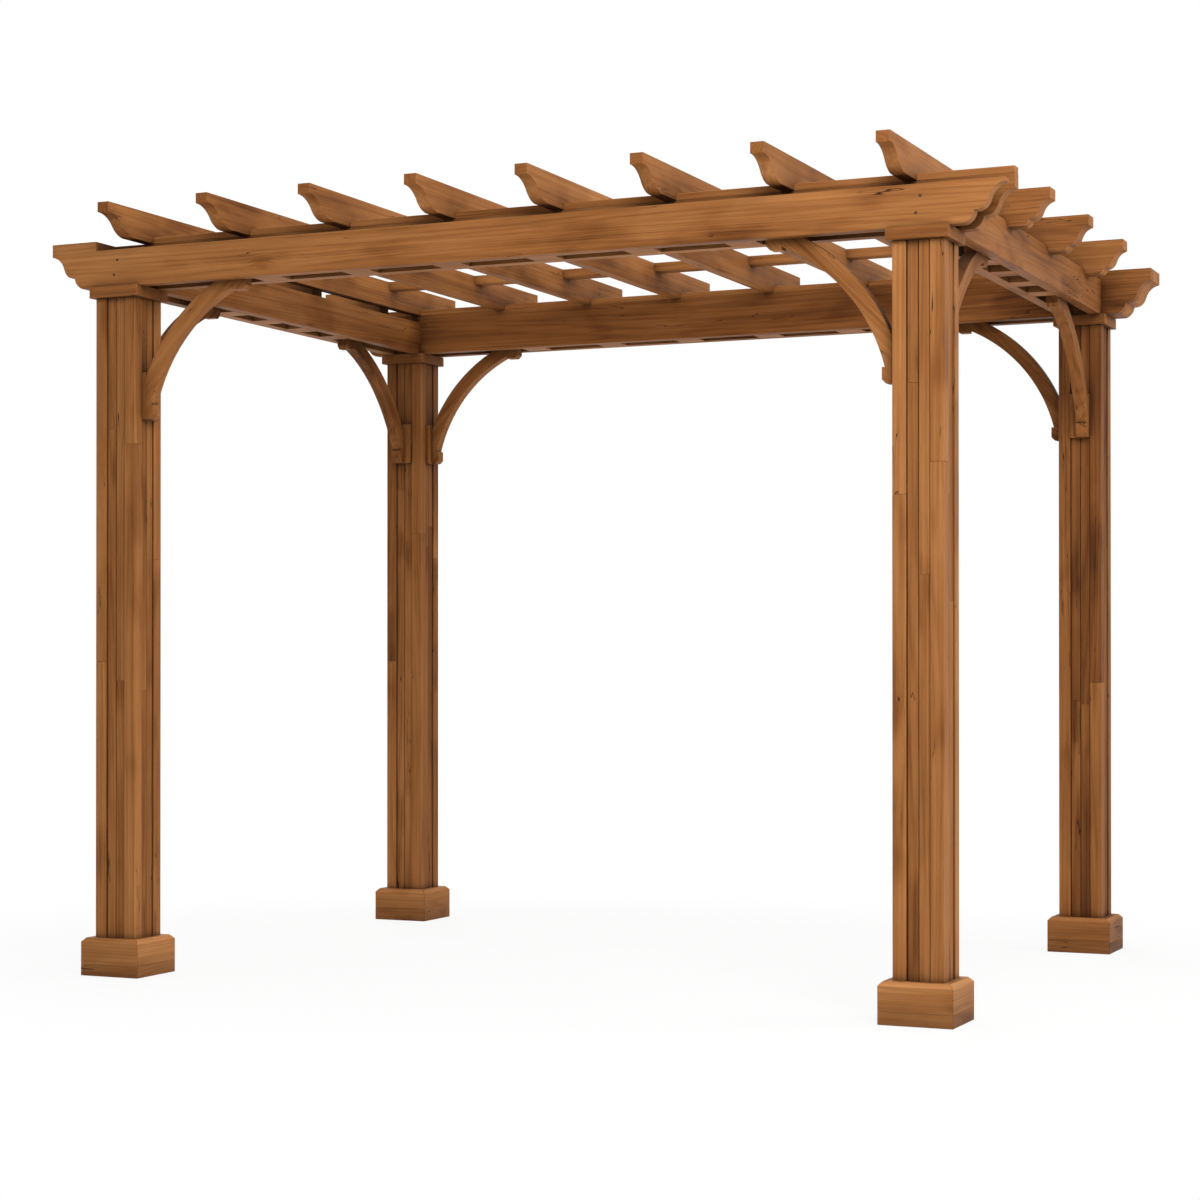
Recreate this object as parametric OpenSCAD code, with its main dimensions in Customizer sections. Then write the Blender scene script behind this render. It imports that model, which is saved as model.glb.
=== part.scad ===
// Garden pergola: four posts on plinths, double beams, arched knee braces,
// rafters laid front to back and purlins let into their tops from side to side.
// Millimetres, Z up. The origin is on the ground at the centre of the plan,
// X runs along the long front and the front faces -Y.

/* [Plan] */
// Distance between post centres along the front
span_x = 2495; // [1800:5:4200]
// Distance between post centres from front to back
span_y = 1842; // [1400:2:3200]

/* [Posts] */
// Width of a post, and of a double beam
post_w = 140; // [120:1:200]
// Height from the ground to the top of a post
post_h = 2043; // [1700:1:2700]
// Width of each corner stile of a post
stile_w = 38; // [20:1:45]
// Depth of the sunk panel between two stiles
panel_sink = 5; // [2:0.5:10]

/* [Plinths and collars] */
// Width of a plinth
plinth_w = 203; // [180:1:280]
// Height of a plinth
plinth_h = 114; // [60:1:300]
// Size of the bevel round the top of a plinth
plinth_bevel = 12; // [2:1:20]
// Width of the collar on a post
collar_w = 170; // [150:1:210]
// Height of the collar on a post
collar_h = 33; // [15:1:60]

/* [Beams] */
// Thickness of every beam board
board_t = 38; // [25:1:50]
// Depth of the front and back beam boards
beam_h = 140; // [125:1:240]
// Reach of the front and back beams past the outer post faces
beam_reach = 160; // [130:1:400]
// Height of the end nose of a front or back beam
beam_nose = 38; // [30:1:45]
// Amount by which side beams and the cut top of an outer board are lower
beam_step = 28; // [15:1:28]
// Height of the strip on which the rafters are notched
strip_h = 19; // [8:1:25]
// Length of a spacer block between the boards of a double beam
spacer_l = 89; // [40:1:150]
// Height of a spacer block
spacer_h = 38; // [20:1:60]
// Distance between spacer blocks in the front and back beams
spacer_pitch_x = 296; // [200:1:500]
// Distance between spacer blocks in the side beams
spacer_pitch_y = 220; // [180:1:400]

/* [Rafters] */
// Thickness of a rafter
rafter_t = 38; // [25:1:50]
// Depth of a rafter
rafter_h = 89; // [75:1:180]
// Reach of the rafters past the outer faces of the front and back beams
rafter_reach = 140; // [130:1:400]
// Height of the end nose of a rafter
rafter_nose = 30; // [20:1:40]

/* [Purlins] */
// Distance between neighbouring purlins
purlin_pitch = 479; // [200:1:600]
// Distance from the inner face of the back beam to the middle of the back purlin
purlin_setback = 211; // [50:1:500]
// Thickness of a purlin
purlin_t = 64; // [25:1:80]
// Depth of a purlin tail outside the side beams
purlin_h = 104; // [95:1:160]
// Height of the hook that drops beside a side beam
purlin_hook = 17; // [8:1:30]
// Reach of the purlins past the outer faces of the side beams
purlin_reach = 122; // [100:1:300]
// Height of the end nose of a purlin
purlin_nose = 31; // [20:1:40]
// Height of the rail of a purlin, let into the tops of the rafters
purlin_rail = 28; // [15:1:30]
// Length of the shoulder of a purlin beside an outermost rafter
purlin_shoulder = 20; // [10:1:60]

/* [Knee braces] */
// Length of a brace along the front or back beam
brace_reach_x = 350; // [300:1:600]
// Length of a brace along a side beam
brace_reach_y = 425; // [300:1:600]
// Height of a brace below the beam
brace_drop = 400; // [300:1:700]
// Thickness of a brace
brace_t = 38; // [20:1:44]
// Width of the curved band of a brace
brace_w = 45; // [30:1:100]
// Rise of the curved lower edge above its chord
brace_rise = 51; // [40:1:110]
// Depth of the square heel at each end of a brace
brace_heel = 28; // [15:1:45]
// Length of the heel
heel_l = 44; // [20:1:80]
// Amount by which a heel stands out from the curve
heel_lip = 8; // [2:1:12]
// Size of the corner cut off each heel
brace_cut = 16; // [4:1:20]
// Height of the tenon that rises between the beam boards
tenon_h = 70; // [30:1:100]
// Thickness of the cleat in front of the post face
cleat_t = 12; // [6:1:20]
// Height of the cleat behind a brace foot
cleat_h = 142; // [80:1:250]
// Clearance between a cleat and the stiles beside it
cleat_gap = 1; // [0.5:0.5:5]

/* [Hidden] */
$fn = 96;

cedar = "peru";
cedar_dark = "sienna";
rafters = 8;
// Points on each curved stretch of a board end
curve_steps = 6;

// Outer faces of the frame, and inner faces of its posts
face_x = (span_x + post_w) / 2;
face_y = (span_y + post_w) / 2;
inner_x = (span_x - post_w) / 2;
inner_y = (span_y - post_w) / 2;
gap_t = post_w - 2 * board_t;
panel_w = post_w - 2 * stile_w;

// Half of the clear length between the braces of a beam, and the spacer blocks in it
bay_x = inner_x - cleat_t - brace_reach_x;
bay_y = inner_y - cleat_t - brace_reach_y;
spacers_x = 1 + floor((2 * bay_x - spacer_l) / spacer_pitch_x);
spacers_y = 1 + floor((2 * bay_y - spacer_l) / spacer_pitch_y);

// Levels from the ground up
beam_z = post_h + collar_h;
side_top_z = beam_z + beam_h - beam_step;
rafter_z = beam_z + beam_h;
rafter_top_z = rafter_z + rafter_h;
purlin_top_z = side_top_z - purlin_hook + purlin_h;

beam_tip = face_x + beam_reach;
rafter_tip = face_y + rafter_reach;
purlin_tip = face_x + purlin_reach;
// The outermost rafters stand over the inner boards of the side beams
rafter_end_x = inner_x + board_t / 2;
rafter_pitch = 2 * rafter_end_x / (rafters - 1);

// Middle planes of the braces, which stand against the outer beam boards
brace_x_at = face_x - board_t - brace_t / 2;
brace_y_at = face_y - board_t - brace_t / 2;

// Points from p towards q, bowed to the left by rise at the middle
function bow(p, q, rise) =
    let (n = [p[1] - q[1], q[0] - p[0]] / norm(q - p))
    [for (i = [0 : curve_steps - 1])
        let (t = i / curve_steps)
        p + (q - p) * t + n * (4 * rise * t * (1 - t))];

// Board ends, drawn as [distance in from the tip, distance down from the top]:
// a nose, a hollow, a round and a quarter round down to the bottom edge
function beam_end(top) = concat(
    [[0, -top]],
    bow([0, -beam_nose], [43, -beam_nose - 40], 9),
    bow([43, -beam_nose - 40], [81, -beam_nose - 69], -9),
    bow([81, -beam_nose - 69], [108, -beam_h], -6),
    [[108, -beam_h]]);

function rafter_end() = concat(
    [[0, 0]],
    bow([0, -rafter_nose], [70, -rafter_nose - 26], 8),
    bow([70, -rafter_nose - 26], [128, -rafter_h], -7),
    [[128, -rafter_h]]);

function purlin_end() = concat(
    [[0, 0]],
    bow([0, -purlin_nose], [32, -purlin_nose - 31], 6),
    bow([32, -purlin_nose - 31], [60, -purlin_nose - 56], -6),
    bow([60, -purlin_nose - 56], [80, -purlin_h], -4),
    [[80, -purlin_h]]);

function purlin_y(i) = inner_y - purlin_setback - i * purlin_pitch;

function reversed(list) = [for (i = [len(list) - 1 : -1 : 0]) list[i]];
// An end placed at the right tip or the left tip of a board
function at_right(list, tip, top) = [for (p = list) [tip - p[0], top + p[1]]];
function at_left(list, tip, top) = [for (p = reversed(list)) [p[0] - tip, top + p[1]]];

// A board outline in X and Z, made as thick as y1 - y0
module along_x(y0, y1) {
    translate([0, y1, 0]) rotate([90, 0, 0]) linear_extrude(y1 - y0) children();
}

// A board outline in Y and Z, made as thick as x1 - x0
module along_y(x0, x1) {
    translate([x0, 0, 0]) rotate([90, 0, 90]) linear_extrude(x1 - x0) children();
}

// A block between two corners
module block(low, high) {
    translate(low) cube(high - low);
}

// One of the four corners, sx and sy being -1 or 1
module at_corner(sx, sy) {
    translate([sx * span_x / 2, sy * span_y / 2, 0]) children();
}

module post(sx, sy) {
    color(cedar) at_corner(sx, sy) linear_extrude(post_h) difference() {
        square(post_w, center = true);
        for (side = [0 : 3]) rotate(90 * side)
            translate([post_w / 2 - panel_sink, -panel_w / 2]) square([panel_sink + 1, panel_w]);
    }
}

module plinth(sx, sy) {
    wall = (plinth_w - post_w) / 2;
    color(cedar) at_corner(sx, sy) for (side = [0 : 3]) rotate(90 * side)
        intersection() {
            translate([post_w / 2, plinth_w / 2, 0]) rotate([90, 0, 0]) linear_extrude(plinth_w)
                polygon([[0, 0], [wall, 0], [wall, plinth_h - plinth_bevel],
                    [wall - plinth_bevel, plinth_h], [0, plinth_h]]);
            linear_extrude(plinth_h)
                polygon([[0, 0], [plinth_w / 2, -plinth_w / 2], [plinth_w / 2, plinth_w / 2]]);
        }
}

module collar(sx, sy) {
    color(cedar_dark) at_corner(sx, sy)
        translate([-collar_w / 2, -collar_w / 2, post_h]) cube([collar_w, collar_w, collar_h]);
}

// Long boards of the front beam; half a turn about Z makes those of the back
module long_outer() {
    color(cedar) along_x(-face_y, -face_y + board_t) polygon(concat(
        at_left(beam_end(0), beam_tip, rafter_z),
        [[-face_x, rafter_z], [-face_x, side_top_z]],
        at_right(beam_end(beam_step), beam_tip, rafter_z)));
}

module long_inner() {
    color(cedar) along_x(-inner_y - board_t, -inner_y) polygon(concat(
        at_left(beam_end(0), beam_tip, rafter_z),
        at_right(beam_end(0), beam_tip, rafter_z)));
}

module rafter_strip() {
    color(cedar_dark) block([-rafter_end_x - rafter_t / 2, -inner_y - board_t, rafter_z],
        [beam_tip, -inner_y, rafter_z + strip_h]);
}

module side_board(x0) {
    color(cedar) block([x0, -inner_y, beam_z], [x0 + board_t, inner_y, side_top_z]);
}

// Block that fills the left end of the front beam between its boards
module end_block() {
    along_x(-face_y + board_t, -inner_y - board_t) intersection() {
        polygon(concat(
            at_left(beam_end(0), beam_tip, rafter_z),
            at_right(beam_end(0), beam_tip, rafter_z)));
        translate([-beam_tip, beam_z]) square([beam_reach, beam_h]);
    }
}

module spacer_blocks() {
    color(cedar_dark) for (turn = [0, 180]) rotate(turn) {
        end_block();
        for (i = [0 : spacers_x - 1])
            translate([(i - (spacers_x - 1) / 2) * spacer_pitch_x - spacer_l / 2,
                -face_y + board_t, beam_z])
            cube([spacer_l, gap_t, spacer_h]);
        for (i = [0 : spacers_y - 1])
            translate([-face_x + board_t,
                (i - (spacers_y - 1) / 2) * spacer_pitch_y - spacer_l / 2, beam_z])
            cube([gap_t, spacer_l, spacer_h]);
    }
}

module rafter(i) {
    x = -rafter_end_x + i * rafter_pitch;
    color(cedar) along_y(x - rafter_t / 2, x + rafter_t / 2) difference() {
        polygon(concat(
            at_left(rafter_end(), rafter_tip, rafter_top_z),
            at_right(rafter_end(), rafter_tip, rafter_top_z)));
        for (y = [-inner_y - board_t, inner_y])
            translate([y, rafter_z - 1]) square([board_t, strip_h + 1]);
        for (k = [0 : 2])
            translate([purlin_y(k) - purlin_t / 2, rafter_top_z - purlin_rail])
            square([purlin_t, purlin_rail + 1]);
    }
}

// Deep tails hooked over the side beams, with a shallow rail between them
module purlin(i) {
    y = purlin_y(i);
    side_x = rafter_end_x + rafter_t / 2;
    shoulder_x = side_x + purlin_shoulder;
    rail_z = rafter_top_z - purlin_rail;
    color(cedar) along_x(y - purlin_t / 2, y + purlin_t / 2) polygon(concat(
        at_left(purlin_end(), purlin_tip, purlin_top_z),
        [[-shoulder_x, purlin_top_z], [-shoulder_x, rafter_top_z],
            [shoulder_x, rafter_top_z], [shoulder_x, purlin_top_z]],
        at_right(purlin_end(), purlin_tip, purlin_top_z),
        [[face_x, side_top_z - purlin_hook], [face_x, side_top_z], [side_x, side_top_z],
            [side_x, rail_z], [-side_x, rail_z],
            [-side_x, side_top_z], [-face_x, side_top_z], [-face_x, side_top_z - purlin_hook]]));
}

// Outline of a brace whose top corner is at the origin, between cleat and beam.
// Its lower edge is a circle through the inner ends of both heels, and its upper
// edge a circle further out by its width.
module brace_outline(reach) {
    depth = brace_heel - heel_lip;
    a = [heel_l - reach, -depth];
    b = [-depth, heel_l - brace_drop];
    chord = norm(b - a);
    r = (pow(chord / 2, 2) + pow(brace_rise, 2)) / (2 * brace_rise);
    out = [a[1] - b[1], b[0] - a[0]] / chord;
    c = (a + b) / 2 - out * (r - brace_rise);
    tenon_x = c[0] + sqrt(pow(r + brace_w, 2) - pow(c[1], 2));
    difference() {
        union() {
            difference() {
                intersection() {
                    translate(c) circle(r = r + brace_w);
                    translate([-reach, -brace_drop]) square([reach, brace_drop]);
                }
                translate(c) circle(r = r);
            }
            translate([-reach, -brace_heel]) square([heel_l, brace_heel]);
            translate([-brace_heel, -brace_drop]) square([brace_heel, heel_l]);
        }
        for (corner = [[-reach, -brace_heel], [-brace_heel, -brace_drop]])
            translate(corner) rotate(45) square(brace_cut, center = true);
    }
    translate([-reach, 0]) square([tenon_x + reach, tenon_h]);
}

module brace_x(sx, sy) {
    y = sy * brace_y_at;
    color(cedar_dark) along_x(y - brace_t / 2, y + brace_t / 2)
        mirror([sx < 0 ? 1 : 0, 0])
        translate([inner_x - cleat_t, beam_z]) brace_outline(brace_reach_x);
}

module brace_y(sx, sy) {
    x = sx * brace_x_at;
    color(cedar_dark) along_y(x - brace_t / 2, x + brace_t / 2)
        mirror([sy < 0 ? 1 : 0, 0])
        translate([inner_y - cleat_t, beam_z]) brace_outline(brace_reach_y);
}

module brace_cleats() {
    depth = cleat_t + panel_sink;
    width = panel_w - 2 * cleat_gap;
    foot_z = beam_z - brace_drop;
    color(cedar_dark) for (sx = [-1, 1]) for (sy = [-1, 1]) {
        translate([sx * (inner_x - cleat_t + depth / 2), sy * span_y / 2, foot_z + cleat_h / 2])
            cube([depth, width, cleat_h], center = true);
        translate([sx * span_x / 2, sy * (inner_y - cleat_t + depth / 2), foot_z + cleat_h / 2])
            cube([width, depth, cleat_h], center = true);
    }
}

post(-1, -1);  // post_front_left
post(1, -1);  // post_front_right
post(-1, 1);  // post_back_left
post(1, 1);  // post_back_right
plinth(-1, -1);  // plinth_front_left
plinth(1, -1);  // plinth_front_right
plinth(-1, 1);  // plinth_back_left
plinth(1, 1);  // plinth_back_right
collar(-1, -1);  // collar_front_left
collar(1, -1);  // collar_front_right
collar(-1, 1);  // collar_back_left
collar(1, 1);  // collar_back_right
long_outer();  // beam_front_outer
long_inner();  // beam_front_inner
rotate(180) long_outer();  // beam_back_outer
rotate(180) long_inner();  // beam_back_inner
side_board(-face_x);  // beam_left_outer
side_board(-inner_x - board_t);  // beam_left_inner
side_board(face_x - board_t);  // beam_right_outer
side_board(inner_x);  // beam_right_inner
rafter_strip();  // rafter_strip_front
rotate(180) rafter_strip();  // rafter_strip_back
spacer_blocks();
rafter(0);  // rafter_1
rafter(1);  // rafter_2
rafter(2);  // rafter_3
rafter(3);  // rafter_4
rafter(4);  // rafter_5
rafter(5);  // rafter_6
rafter(6);  // rafter_7
rafter(7);  // rafter_8
purlin(2);  // purlin_front
purlin(1);  // purlin_middle
purlin(0);  // purlin_back
brace_x(-1, -1);  // brace_front_left
brace_x(1, -1);  // brace_front_right
brace_x(-1, 1);  // brace_back_left
brace_x(1, 1);  // brace_back_right
brace_y(-1, -1);  // brace_left_front
brace_y(-1, 1);  // brace_left_back
brace_y(1, -1);  // brace_right_front
brace_y(1, 1);  // brace_right_back
brace_cleats();
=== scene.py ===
# Looks of the wooden pergola: built-up posts and plinths, stained cedar, screws,
# studio floor, lights and camera. Metres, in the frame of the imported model.
import math
import random

import bmesh
import bpy
from mathutils import Matrix, Vector


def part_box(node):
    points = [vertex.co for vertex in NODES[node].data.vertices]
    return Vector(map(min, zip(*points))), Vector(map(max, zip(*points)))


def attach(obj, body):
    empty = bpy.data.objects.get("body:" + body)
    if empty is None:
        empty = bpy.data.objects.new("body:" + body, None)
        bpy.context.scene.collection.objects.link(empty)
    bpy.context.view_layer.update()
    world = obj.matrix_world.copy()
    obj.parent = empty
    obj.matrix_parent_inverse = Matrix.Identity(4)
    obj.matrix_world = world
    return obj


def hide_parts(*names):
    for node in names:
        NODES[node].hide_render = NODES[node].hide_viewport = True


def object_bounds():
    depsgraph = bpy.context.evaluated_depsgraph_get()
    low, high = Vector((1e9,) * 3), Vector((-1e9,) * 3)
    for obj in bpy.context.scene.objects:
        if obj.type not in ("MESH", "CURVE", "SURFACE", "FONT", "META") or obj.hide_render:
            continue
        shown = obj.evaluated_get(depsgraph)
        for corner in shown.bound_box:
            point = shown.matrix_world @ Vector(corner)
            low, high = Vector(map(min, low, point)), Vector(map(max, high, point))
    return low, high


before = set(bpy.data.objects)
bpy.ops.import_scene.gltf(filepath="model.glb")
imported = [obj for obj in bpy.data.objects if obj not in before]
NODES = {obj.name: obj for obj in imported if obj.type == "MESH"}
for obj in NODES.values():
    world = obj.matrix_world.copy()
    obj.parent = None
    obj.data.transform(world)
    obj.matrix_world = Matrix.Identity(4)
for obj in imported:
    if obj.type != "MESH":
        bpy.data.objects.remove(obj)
cad_low, cad_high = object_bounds()
CORNERS = ["front_left", "front_right", "back_left", "back_right"]

# Sizes of the built-up posts and plinths
STILE_W = 0.038
PANEL_SINK = 0.005
PANEL_T = 0.012
GROOVE = 0.0016
PLINTH_BEVEL = 0.012
CORE_LAP = 0.001
CORE_END_GAP = 0.002
MITRE_GAP = 0.0003

# Rounding of the boards' edges, and the distance at which two points are one
BOARD_EASE = 0.0018
STRIP_EASE = 0.0011
CORE_EASE = 0.001
EASE_STEPS = 2
SHARP_ANGLE = math.radians(40)
WELD_GAP = 0.00002

# The boards of a post: edge rounding, tint and its spread, shortest and longest finger-jointed length
STILES = {"ease": 0.0016, "tint": 0.02, "spread": 0.06, "shortest": 0.80, "longest": 1.80}
PANELS = {"ease": 0.0012, "tint": -0.07, "spread": 0.07, "shortest": 0.70, "longest": 1.70}
CORE_TINT = -0.30

# The strips of a plinth: the height of the glue line as a share, and the tints of each strip
GLUE_LINE = (0.30, 0.42)
LOWER_TINTS = (-0.12, 0.06)
UPPER_TINTS = (-0.05, 0.10)

# Screws of the long beams, in pairs on each post: from the post's middle, from the pair's middle,
# and the pair's middle below the beam's
SCREW_R = 0.0042
SCREW_SIDES = 24
PAIR_OUT, PAIR_UP, PAIR_DROP = 0.006, 0.022, 0.012

# Screws of the side beams, two at each end: in from the post's middle, and below the beam's
SIDE_SCREWS = ((0.170, 0.016), (0.195, 0.012))

# The first seed of the posts, plinths, carried-over boards and braces
POST_SEED, PLINTH_SEED, BOARD_SEED, BRACE_SEED = 100, 200, 300, 400

# Studio
WHITE = (1, 1, 1, 1)
FLOOR_SIZE = 40
FLOOR_DROP = 0.0005
WORLD_LIGHT = 0.30


def add_object(name, data):
    """A new object in the scene."""
    made = bpy.data.objects.new(name, data)
    bpy.context.scene.collection.objects.link(made)
    return made


# ---------------------------------------------------------------- camera

camera = add_object("camera", bpy.data.cameras.new("camera"))
camera.location = (3.1268, -7.3406, 0.9396)
camera.rotation_euler = (math.radians(90.3), 0, math.radians(24.77))
camera.data.lens = 75.7
camera.data.sensor_width = 36
camera.data.shift_x = 0.041
camera.data.shift_y = 0.042
camera.data.clip_end = 200
bpy.context.scene.camera = camera


# ---------------------------------------------------------------- materials

# The sockets of a Mix node, for numbers and for colours: factor, first input, second input, result
MIX_SOCKETS = {"FLOAT": (0, 2, 3, 0), "RGBA": (0, 6, 7, 2)}


class Tree:
    """The node tree of a material or a world, with short ways to add and join nodes."""

    def __init__(self, owner, shader="Principled BSDF"):
        owner.use_nodes = True
        self.owner = owner
        self.tree = owner.node_tree
        self.shader = self.tree.nodes[shader]

    def join(self, socket, value):
        if isinstance(value, bpy.types.NodeSocket):
            self.tree.links.new(value, socket)
        else:
            socket.default_value = value

    def node(self, kind, *inputs, **settings):
        made = self.tree.nodes.new("ShaderNode" + kind)
        for key, value in settings.items():
            setattr(made, key, value)
        for socket, value in zip(made.inputs, inputs):
            self.join(socket, value)
        return made

    def math(self, operation, *inputs):
        return self.node("Math", *inputs, operation=operation).outputs[0]

    def plus(self, value, what, weight):
        """The value and a weighted part of something else."""
        return self.math("ADD", value, self.math("MULTIPLY", what, weight))

    def vector(self, operation, *inputs):
        return self.node("VectorMath", *inputs, operation=operation).outputs[0]

    def noise(self, where, detail=2.0, roughness=0.5, output="Fac"):
        made = self.node("TexNoise")
        for name, value in (("Vector", where), ("Scale", 1.0),
                            ("Detail", detail), ("Roughness", roughness)):
            self.join(made.inputs[name], value)
        return made.outputs[output]

    def spread(self, value, low, high, to_low=0.0, to_high=1.0, soft=True):
        made = self.node("MapRange", interpolation_type="SMOOTHSTEP" if soft else "LINEAR")
        for name, v in (("Value", value), ("From Min", low), ("From Max", high),
                        ("To Min", to_low), ("To Max", to_high)):
            self.join(made.inputs[name], v)
        return made.outputs["Result"]

    def mix(self, factor, a, b, kind="RGBA", blend="MIX"):
        made = self.node("Mix", data_type=kind, blend_type=blend)
        *sockets, result = MIX_SOCKETS[kind]
        for i, value in zip(sockets, (factor, a, b)):
            self.join(made.inputs[i], value)
        return made.outputs[result]

    def ramp(self, value, stops):
        made = self.node("ValToRGB", value)
        points = made.color_ramp.elements
        while len(points) < len(stops):
            points.new(0.5)
        for point, (place, colour) in zip(points, stops):
            point.position = place
            point.color = (*colour, 1)
        return made.outputs["Color"]


CEDAR = [
    (0.00, (0.060, 0.017, 0.003)),
    (0.25, (0.165, 0.056, 0.013)),
    (0.50, (0.285, 0.109, 0.030)),
    (0.75, (0.400, 0.169, 0.054)),
    (1.00, (0.550, 0.252, 0.092)),
]
KNOT = (0.036, 0.012, 0.004, 1)
CRACK = (0.014, 0.005, 0.002, 1)
BASE_TONE = 0.53
BUMP_HEIGHT = 0.0012
WANDER = (0.014, 0.014, 0.014)       # how far the grain strays to each side
NEXT_PIECE = (3.17, 5.71, 1.93)      # how far on in the wood the next piece of a joined mesh is cut
NOOK_SHADE_REACH = 0.15                    # how near another board must be to paint shade on a face


class Wood(Tree):
    """A wood whose fields are drawn out along one axis, each board cut from its own place in it."""

    def __init__(self, name, axis, seed, turn):
        super().__init__(bpy.data.materials.new(name))
        self.axis = "XYZ".index(axis)
        draw = random.Random(seed)
        origin = tuple(draw.uniform(-40, 40) for _ in range(3))
        place = self.node("TexCoord").outputs["Object"]
        if turn:
            turned = self.node("VectorRotate", place, rotation_type=turn[0])
            turned.inputs["Angle"].default_value = turn[1]
            place = turned.outputs[0]
        onward = self.node("VectorMath", NEXT_PIECE, operation="SCALE")
        self.join(onward.inputs["Scale"], self.node("Attribute", attribute_name="cut").outputs["Fac"])
        self.place = self.vector("ADD", self.vector("ADD", place, origin), onward.outputs[0])

        # The grain wanders a little to the sides
        wander = self.noise(self.stretched(self.place, 1.1, 3.0), detail=1.5, output="Color")
        sideways = self.vector("MULTIPLY", self.vector("SUBTRACT", wander, (0.5, 0.5, 0.5)), WANDER)
        self.flow = self.vector("ADD", self.place, sideways)

    def stretched(self, where, along, across):
        scale = tuple(along if i == self.axis else across for i in range(3))
        return self.vector("MULTIPLY", where, scale)

    def grain(self, along, across, detail=2.0, roughness=0.5):
        """Noise that follows the wandering grain."""
        return self.noise(self.stretched(self.flow, along, across), detail, roughness)

    def patches(self, along, across, detail=2.0, roughness=0.5):
        """Noise that runs straight along the board."""
        return self.noise(self.stretched(self.place, along, across), detail, roughness)

    def knots(self, rarity):
        """The bent wood round each knot, and its dark heart."""
        cells = self.node("TexVoronoi", self.stretched(self.flow, 3.6, 6.5), feature="F1")
        cells.inputs["Scale"].default_value = 1.0
        chosen = self.node("SeparateColor", cells.outputs["Color"]).outputs[0]
        present = self.math("GREATER_THAN", chosen, rarity)
        away = cells.outputs["Distance"]
        return (self.math("MULTIPLY", self.spread(away, 0.02, 0.20, 1.0, 0.0), present),
                self.math("MULTIPLY", self.spread(away, 0.012, 0.048, 1.0, 0.0), present))

    def late_wood(self, bend):
        """Growth rings: contour lines of a smooth field that is long in the grain."""
        field = self.plus(self.grain(0.30, 9.0, detail=1.0, roughness=0.4), bend, 0.05)
        rings = self.math("SINE", self.math("MULTIPLY", field, 150.0))
        return self.math("POWER", self.spread(rings, -1, 1, soft=False), 3.0)

    def sawn_end(self, tone):
        """The tone of end grain, with specks and the arcs of the rings."""
        specks = self.patches(60.0, 420.0, roughness=0.7)
        arcs = self.math("SINE", self.math("MULTIPLY", self.patches(0.4, 10.0, detail=0.0), 120.0))
        return self.plus(self.plus(tone, self.math("SUBTRACT", specks, 0.5), 0.5), arcs, 0.05)

    def checks(self):
        """Thin cracks that open along the grain in a few places."""
        thin = self.math("ABSOLUTE", self.math("SUBTRACT", self.grain(2.2, 42.0), 0.5))
        where = self.spread(self.patches(2.2, 11.0, detail=1.0), 0.56, 0.62)
        return self.math("MULTIPLY", self.spread(thin, 0.0015, 0.008, 1.0, 0.0), where)

    def painted_nook_shade(self, darkest):
        """Painted shade that gathers where boards cross, as a grey to multiply with."""
        nook = self.node("AmbientOcclusion", samples=6, only_local=False)
        nook.inputs["Distance"].default_value = NOOK_SHADE_REACH
        shade = self.spread(nook.outputs["AO"], 0.18, 0.92, darkest, 1.0, soft=False)
        return self.node("CombineColor", shade, shade, shade).outputs[0]


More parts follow.
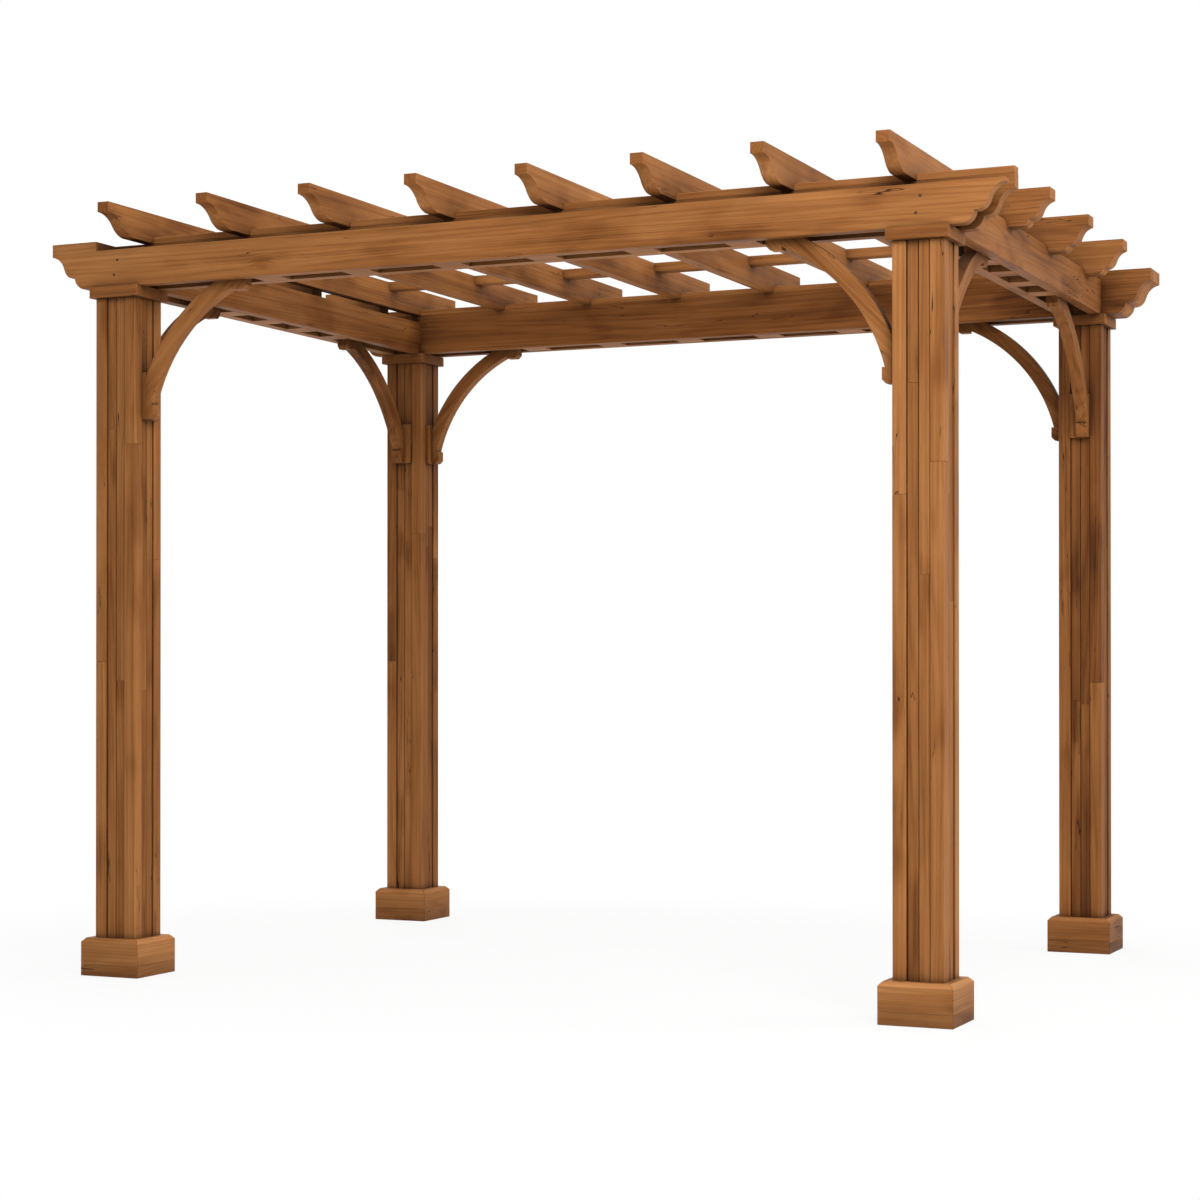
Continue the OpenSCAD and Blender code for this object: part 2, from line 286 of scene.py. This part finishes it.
def cedar(name, axis, seed, tone=0.0, turn=None, sawn_end=0.56, knots=0.80, painted_shade_darkest=0.18):
    """Stained cedar with its grain along an axis, paler where its tone is higher.

    turn is (rotation type, angle) for a slanted piece, sawn_end is the tone of its end grain or None,
    knots is how rare they are from 0 to 1, and painted_shade_darkest is the darkest that the painted
    shade gets where boards cross.
    """
    t = Wood(name, axis, seed, turn)
    tint = t.node("Attribute", attribute_name="tone").outputs["Fac"]
    bend, heart = t.knots(knots)
    late = t.late_wood(bend)
    broad = t.grain(0.6, 6.0)
    streak = t.grain(1.1, 95.0, detail=5.0, roughness=0.65)
    stain = t.grain(2.4, 14.0, detail=3.0)
    fibre = t.grain(14.0, 900.0, roughness=0.6)
    cloud = t.spread(t.patches(3.2, 8.0), 0.52, 0.72)

    value = t.math("ADD", BASE_TONE + tone, tint)
    for what, weight in ((broad, 0.54), (streak, 0.60), (stain, 0.52), (fibre, 0.22)):
        value = t.plus(value, t.math("SUBTRACT", what, 0.5), weight)
    value = t.plus(value, t.math("SUBTRACT", late, 0.30), -0.10)
    value = t.plus(value, cloud, -0.20)
    value = t.plus(value, bend, -0.16)

    # Eased edges get a painted highlight that makes them a little paler, and a sawn end has a tone of
    # its own
    normal = t.vector("ABSOLUTE", t.node("NewGeometry").outputs["Normal"])
    facing = t.node("SeparateXYZ", normal).outputs
    if not turn:
        flat = t.math("MAXIMUM", t.math("MAXIMUM", facing[0], facing[1]), facing[2])
        value = t.math("ADD", value, t.spread(flat, 0.80, 0.985, 0.10, 0.0))
    if sawn_end:
        end = t.sawn_end(t.math("ADD", sawn_end + tone, tint))
        value = t.mix(t.spread(facing[t.axis], 0.80, 0.97), value, end, kind="FLOAT")

    check = t.checks()
    colour = t.mix(t.math("MULTIPLY", heart, 0.85), t.ramp(value, CEDAR), KNOT)
    colour = t.mix(t.math("MULTIPLY", check, 0.9), colour, CRACK)
    # Painted shade darkens the colour where boards cross and in other hollows
    colour = t.mix(1.0, colour, t.painted_nook_shade(painted_shade_darkest), blend="MULTIPLY")
    t.join(t.shader.inputs["Base Color"], colour)
    t.join(t.shader.inputs["Roughness"], t.spread(streak, 0.3, 0.7, 0.50, 0.66, soft=False))
    t.shader.inputs["Specular IOR Level"].default_value = 0.10

    height = t.plus(t.math("MULTIPLY", streak, 0.5), fibre, 0.5)
    height = t.plus(t.plus(height, late, -0.12), check, -0.9)
    bump = t.node("Bump")
    for socket, setting in (("Strength", 0.35), ("Distance", BUMP_HEIGHT), ("Height", height)):
        t.join(bump.inputs[socket], setting)
    t.join(t.shader.inputs["Normal"], bump.outputs[0])
    return t.owner


def screw_metal():
    """Bronze-coloured coated steel, a little worn."""
    t = Tree(bpy.data.materials.new("screw_bronze"))
    place = t.node("TexCoord").outputs["Object"]
    worn = t.noise(t.vector("MULTIPLY", place, (900, 900, 900)), 3.0, 0.6)
    colour = t.ramp(worn, [(0.3, (0.030, 0.018, 0.011)), (0.7, (0.085, 0.052, 0.032))])
    t.join(t.shader.inputs["Base Color"], colour)
    t.join(t.shader.inputs["Roughness"], t.spread(worn, 0.3, 0.7, 0.35, 0.6))
    t.shader.inputs["Metallic"].default_value = 0.8
    return t.owner


# ---------------------------------------------------------------- built-up pieces

class Joinery:
    """Pieces of wood gathered into one mesh, each with its own tone and its own grain."""

    def __init__(self):
        self.points, self.faces, self.tones, self.cuts = [], [], [], []
        self.count = 0

    def add(self, low, high, ease, tone):
        """A prism between two outlines of as many points, with its edges eased."""
        bm = bmesh.new()
        a = [bm.verts.new(p) for p in low]
        b = [bm.verts.new(p) for p in high]
        bm.faces.new(a)
        bm.faces.new(b)
        for i in range(len(a)):
            j = (i + 1) % len(a)
            bm.faces.new((a[i], a[j], b[j], b[i]))
        bmesh.ops.recalc_face_normals(bm, faces=bm.faces)
        bmesh.ops.bevel(bm, geom=bm.edges[:], offset=ease, segments=EASE_STEPS,
                        profile=0.5, affect="EDGES", clamp_overlap=True)
        first = len(self.points)
        bm.verts.index_update()
        self.points += [v.co.copy() for v in bm.verts]
        self.faces += [[first + v.index for v in f.verts] for f in bm.faces]
        self.tones += [tone] * len(bm.verts)
        self.cuts += [float(self.count)] * len(bm.verts)
        self.count += 1
        bm.free()

    def box(self, low, high, ease, tone):
        (x0, y0, z0), (x1, y1, z1) = low, high
        ring = ((x0, y0), (x1, y0), (x1, y1), (x0, y1))
        self.add([(x, y, z0) for x, y in ring], [(x, y, z1) for x, y in ring], ease, tone)

    def finish(self, name, material, slot, *nodes):
        """Makes the one mesh, which stands for the nodes of the frame that are given."""
        mesh = bpy.data.meshes.new(name)
        mesh.from_pydata(self.points, [], self.faces)
        for key, values in (("tone", self.tones), ("cut", self.cuts)):
            layer = mesh.attributes.new(key, "FLOAT", "POINT")
            layer.data.foreach_set("value", values)
        mesh.polygons.foreach_set("use_smooth", [True] * len(mesh.polygons))
        mesh.materials.append(material)
        piece = add_object(name, mesh)
        weighted = piece.modifiers.new("normals", "WEIGHTED_NORMAL")
        weighted.keep_sharp = True
        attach(piece, "root")
        if nodes:
            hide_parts(*nodes)


def joints(draw, low, high, shortest, longest):
    """Heights at which finger-jointed lengths meet, from low to high."""
    cuts = [low]
    while high - cuts[-1] > longest:
        cuts.append(cuts[-1] + draw.uniform(shortest, longest))
    if high - cuts[-1] < shortest / 2:
        cuts.pop()
    return cuts + [high]


def build_post(corner, seed, tone):
    """Four corner stiles with two sunk boards between each pair, over a core."""
    draw = random.Random(seed)
    low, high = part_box("post_" + corner)
    middle = (low + high) / 2
    half = (high.x - low.x) / 2
    wood = Joinery()

    def lengths(x0, y0, x1, y1, ease, tint, spread, shortest, longest):
        cuts = joints(draw, low.z, high.z, shortest, longest)
        for z0, z1 in zip(cuts, cuts[1:]):
            wood.box((middle.x + x0, middle.y + y0, z0), (middle.x + x1, middle.y + y1, z1),
                     ease, tint + draw.uniform(-spread, spread))

    core = half - PANEL_SINK - PANEL_T + CORE_LAP
    wood.box((middle.x - core, middle.y - core, low.z + CORE_END_GAP),
             (middle.x + core, middle.y + core, high.z - CORE_END_GAP), CORE_EASE, CORE_TINT)
    for sx in (-1, 1):
        for sy in (-1, 1):
            x = sorted((sx * half, sx * (half - STILE_W)))
            y = sorted((sy * half, sy * (half - STILE_W)))
            lengths(x[0], y[0], x[1], y[1], **STILES)

    # Two boards and three grooves fill the space between the stiles of a face
    side = half - STILE_W
    board = side - 1.5 * GROOVE
    for face in (-1, 1):
        deep = sorted((face * (half - PANEL_SINK), face * (half - PANEL_SINK - PANEL_T)))
        for start in (-side + GROOVE, GROOVE / 2):
            lengths(start, deep[0], start + board, deep[1], **PANELS)
            lengths(deep[0], start, deep[1], start + board, **PANELS)
    material = cedar("cedar_post_" + corner, "Z", seed, tone, sawn_end=None, knots=0.93)
    wood.finish("built_post_" + corner, material, "post_cedar", "post_" + corner)


def build_plinth(corner, seed, tone):
    """Four mitred boards, each edge-glued from two strips, with the top edge bevelled."""
    draw = random.Random(seed)
    low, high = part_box("plinth_" + corner)
    post_low, post_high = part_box("post_" + corner)
    middle = (low + high) / 2
    middle.z = 0
    outer = (high.x - low.x) / 2
    inner = (post_high.x - post_low.x) / 2
    split = draw.uniform(*GLUE_LINE) * (high.z - low.z)
    line = low.z + split
    lower = [(inner, low.z), (outer, low.z), (outer, line), (inner, line)]
    upper = [(inner, line), (outer, line), (outer, high.z - PLINTH_BEVEL),
             (outer - PLINTH_BEVEL, high.z), (inner, high.z)]
    front_back, sides = Joinery(), Joinery()
    for quarter in range(4):
        wood = (front_back, sides)[quarter % 2]
        turn = Matrix.Rotation(math.radians(90 * quarter), 4, "Z")
        for profile, tints in ((lower, LOWER_TINTS), (upper, UPPER_TINTS)):
            ends = [[turn @ Vector((sign * (d - MITRE_GAP), -d, z)) + middle for d, z in profile]
                    for sign in (-1, 1)]
            wood.add(ends[0], ends[1], STRIP_EASE, draw.uniform(*tints))
    for wood, axis, part, nodes in ((front_back, "X", "front_back", ["plinth_" + corner]),
                                    (sides, "Y", "sides", [])):
        material = cedar("cedar_plinth_%s_%s" % (corner, part), axis, seed + ord(axis), tone,
                         sawn_end=None)
        wood.finish("built_plinth_%s_%s" % (corner, part), material, "plinth_cedar", *nodes)


POST_TONES = (0.01, 0.07, -0.03, -0.15)
PLINTH_PALER = 0.13
for number, (corner, tone) in enumerate(zip(CORNERS, POST_TONES)):
    build_post(corner, POST_SEED + number, tone)
    build_plinth(corner, PLINTH_SEED + number, tone + PLINTH_PALER)


# ---------------------------------------------------------------- carried-over boards

def dress(node, material):
    """Eases the edges of a board of the frame and gives it its wood."""
    board = NODES[node]
    board.data.materials.clear()
    board.data.materials.append(material)
    weld = board.modifiers.new("weld", "WELD")
    weld.merge_threshold = WELD_GAP
    bevel = board.modifiers.new("ease", "BEVEL")
    bevel.width = BOARD_EASE
    bevel.segments = EASE_STEPS
    bevel.limit_method = "ANGLE"
    bevel.angle_limit = SHARP_ANGLE
    board.modifiers.new("normals", "WEIGHTED_NORMAL")


# Each board's node, the axis of its grain, its tone, and in what else its wood differs
DARK_END = {"sawn_end": 0.36}
# The rafter strips show between the rafters and get hardly any painted shade
HARDLY_SHADED = {"painted_shade_darkest": 0.85}
RAFTER_TONES = (-0.03, 0.0, -0.01, 0.02, 0.03, 0.04, 0.05, 0.06)
BOARDS = [("collar_" + corner, "X", -0.13, {}) for corner in CORNERS]
BOARDS += [
    ("beam_front_outer", "X", 0.04, {}), ("beam_front_inner", "X", -0.02, {}),
    ("beam_back_outer", "X", 0.0, {}), ("beam_back_inner", "X", -0.11, {}),
    ("beam_left_outer", "Y", -0.02, {}), ("beam_left_inner", "Y", -0.03, {}),
    ("beam_right_outer", "Y", -0.02, {}), ("beam_right_inner", "Y", -0.03, {}),
    ("rafter_strip_front", "X", 0.10, HARDLY_SHADED), ("rafter_strip_back", "X", 0.0, HARDLY_SHADED),
    ("spacer_blocks", "X", 0.05, {}), ("brace_cleats", "Z", -0.02, {}),
    ("purlin_front", "X", 0.02, {}), ("purlin_middle", "X", -0.01, {}), ("purlin_back", "X", 0.03, {}),
]
BOARDS += [("rafter_%d" % (i + 1), "Y", tone, DARK_END) for i, tone in enumerate(RAFTER_TONES)]
for number, (node, axis, tone, differs) in enumerate(BOARDS):
    dress(node, cedar("cedar_" + node, axis, BOARD_SEED + number, tone, **differs))

# A brace is sawn with its grain along its chord: the axis and the angle that turn it there, and its tone
BRACES = [
    ("front_left", "Y_AXIS", -45, -0.03), ("front_right", "Y_AXIS", 45, 0.0),
    ("back_left", "Y_AXIS", -45, -0.12), ("back_right", "Y_AXIS", 45, -0.17),
    ("left_front", "X_AXIS", 45, -0.10), ("left_back", "X_AXIS", -45, -0.10),
    ("right_front", "X_AXIS", 45, -0.05), ("right_back", "X_AXIS", -45, -0.12),
]
for number, (name, about, degrees, tone) in enumerate(BRACES):
    dress("brace_" + name, cedar("cedar_brace_" + name, "Z", BRACE_SEED + number, tone,
                                 turn=(about, math.radians(degrees)), sawn_end=None))


# ---------------------------------------------------------------- screws

# The rings of a countersunk head with a star recess: radii as shares of the head's, and the height
STAR = [0.44 if i % 4 < 2 else 0.30 for i in range(SCREW_SIDES)]
HEAD = [([share] * SCREW_SIDES, z)
        for share, z in ((1.0, -0.0015), (1.0, 0.0002), (0.92, 0.0006), (0.52, 0.0007))]
HEAD += [(STAR, 0.0007), (STAR, -0.0009)]


def build_screws(name, places, material):
    """Screw heads as one mesh; each place is a point and the way out of the wood."""
    bm = bmesh.new()
    for point, out in places:
        base = (Matrix.Translation(Vector(point))
                @ Vector(out).to_track_quat("Z", "Y").to_matrix().to_4x4())
        loops = []
        for shares, z in HEAD:
            loop = []
            for i, share in enumerate(shares):
                angle = 2 * math.pi * i / SCREW_SIDES
                reach = SCREW_R * share
                loop.append(bm.verts.new(base @ Vector((reach * math.cos(angle),
                                                        reach * math.sin(angle), z))))
            loops.append(loop)
        for a, b in zip(loops, loops[1:]):
            for i in range(SCREW_SIDES):
                j = (i + 1) % SCREW_SIDES
                bm.faces.new((a[i], a[j], b[j], b[i]))
        bm.faces.new(loops[0][::-1])
        bm.faces.new(loops[-1])
    bmesh.ops.recalc_face_normals(bm, faces=bm.faces)
    mesh = bpy.data.meshes.new(name)
    bm.to_mesh(mesh)
    bm.free()
    mesh.materials.append(material)
    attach(add_object(name, mesh), "root")


metal = screw_metal()
post_x = [sum(c.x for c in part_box("post_front_" + s)) / 2 for s in ("left", "right")]
post_y = [sum(c.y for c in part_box("post_%s_left" % s)) / 2 for s in ("front", "back")]
front_low, front_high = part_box("beam_front_outer")
back_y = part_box("beam_back_outer")[1].y
left_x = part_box("beam_left_outer")[0].x
right_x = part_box("beam_right_outer")[1].x
beam_mid = (front_low.z + front_high.z) / 2

places = []
for x in post_x:
    for side in (-1, 1):
        z = beam_mid - PAIR_DROP + side * PAIR_UP
        places.append(((x + side * PAIR_OUT, front_low.y, z), (0, -1, 0)))
        places.append(((x - side * PAIR_OUT, back_y, z), (0, 1, 0)))
build_screws("screws_long_beams", places, metal)

places = []
for y, inward in zip(post_y, (1, -1)):
    for step, drop in SIDE_SCREWS:
        places.append(((left_x, y + inward * step, beam_mid - drop), (-1, 0, 0)))
        places.append(((right_x, y + inward * step, beam_mid - drop), (1, 0, 0)))
build_screws("screws_side_beams", places, metal)


# ---------------------------------------------------------------- studio

def area_light(name, place, aim, size, power, colour):
    """A square lamp that faces a point."""
    light = bpy.data.lights.new(name, "AREA")
    light.shape = "SQUARE"
    light.size = size
    light.energy = power
    light.color = colour
    lamp = add_object(name, light)
    lamp.location = place
    lamp.rotation_euler = (Vector(aim) - Vector(place)).to_track_quat("-Z", "Y").to_euler()


# Name, place, the point that it faces, size, watts and colour
area_light("key", (3.0, -4.5, 4.1), (0.4, 0, 1.3), 3.0, 236, (1.0, 0.985, 0.965))
area_light("fill", (-5.5, -5.0, 2.6), (0, 0, 1.3), 4.0, 34, (1.0, 0.99, 0.98))
area_light("side", (6.5, 1.2, 3.0), (0, 0, 1.4), 3.5, 135, (1.0, 0.98, 0.95))
area_light("top", (0, 0, 6.0), (0, 0, 0), 4.0, 110, (1.0, 1.0, 1.0))
area_light("back", (-4.5, 5.5, 3.4), (0, 0, 1.3), 3.5, 110, (1.0, 0.99, 0.97))


def white_to_the_eye(tree, rest, white, share):
    """A mix of two shaders: a share of white where the eye, a mirror or glass sees it, and the rest."""
    path = tree.node("LightPath")
    seen = path.outputs["Is Camera Ray"]
    for name in ("Is Glossy Ray", "Is Transmission Ray"):
        seen = tree.math("MAXIMUM", seen, path.outputs[name])
    seen = tree.math("MULTIPLY", seen, share)
    return tree.node("MixShader", seen, rest, tree.node(white, WHITE, 1.0).outputs[0]).outputs[0]


def floor_paint():
    """Pale grey that keeps the soft shadows near the object and fades into the white round it."""
    t = Tree(bpy.data.materials.new("studio_floor"))
    t.shader.inputs["Roughness"].default_value = 0.9
    t.shader.inputs["Specular IOR Level"].default_value = 0.1
    place = t.node("TexCoord").outputs["Object"]
    cloudy = t.noise(t.vector("MULTIPLY", place, (3, 3, 3)), 3.0)
    t.join(t.shader.inputs["Base Color"],
           t.ramp(cloudy, [(0.0, (0.90, 0.90, 0.90)), (1.0, (0.93, 0.93, 0.93))]))
    away = t.vector("MULTIPLY", place, (0.42, 0.55, 0))
    away = t.node("VectorMath", away, operation="LENGTH").outputs["Value"]
    fade = t.spread(away, 0.55, 1.35, 0.85, 1.0)
    t.join(t.tree.nodes["Material Output"].inputs["Surface"],
           white_to_the_eye(t, t.shader.outputs[0], "Emission", fade))
    return t.owner


def build_floor():
    bm = bmesh.new()
    bmesh.ops.create_grid(bm, x_segments=8, y_segments=8, size=FLOOR_SIZE)
    mesh = bpy.data.meshes.new("studio_floor")
    bm.to_mesh(mesh)
    bm.free()
    mesh.materials.append(floor_paint())
    floor = add_object("studio_floor", mesh)
    floor.location.z = cad_low.z - FLOOR_DROP


def light_world():
    """A dim world that shows as white."""
    t = Tree(bpy.data.worlds.new("studio"), "Background")
    t.shader.inputs["Color"].default_value = WHITE
    t.shader.inputs["Strength"].default_value = WORLD_LIGHT
    t.join(t.tree.nodes["World Output"].inputs["Surface"],
           white_to_the_eye(t, t.shader.outputs[0], "Background", 1.0))
    bpy.context.scene.world = t.owner


build_floor()
light_world()
bpy.context.scene.view_settings.view_transform = "Standard"
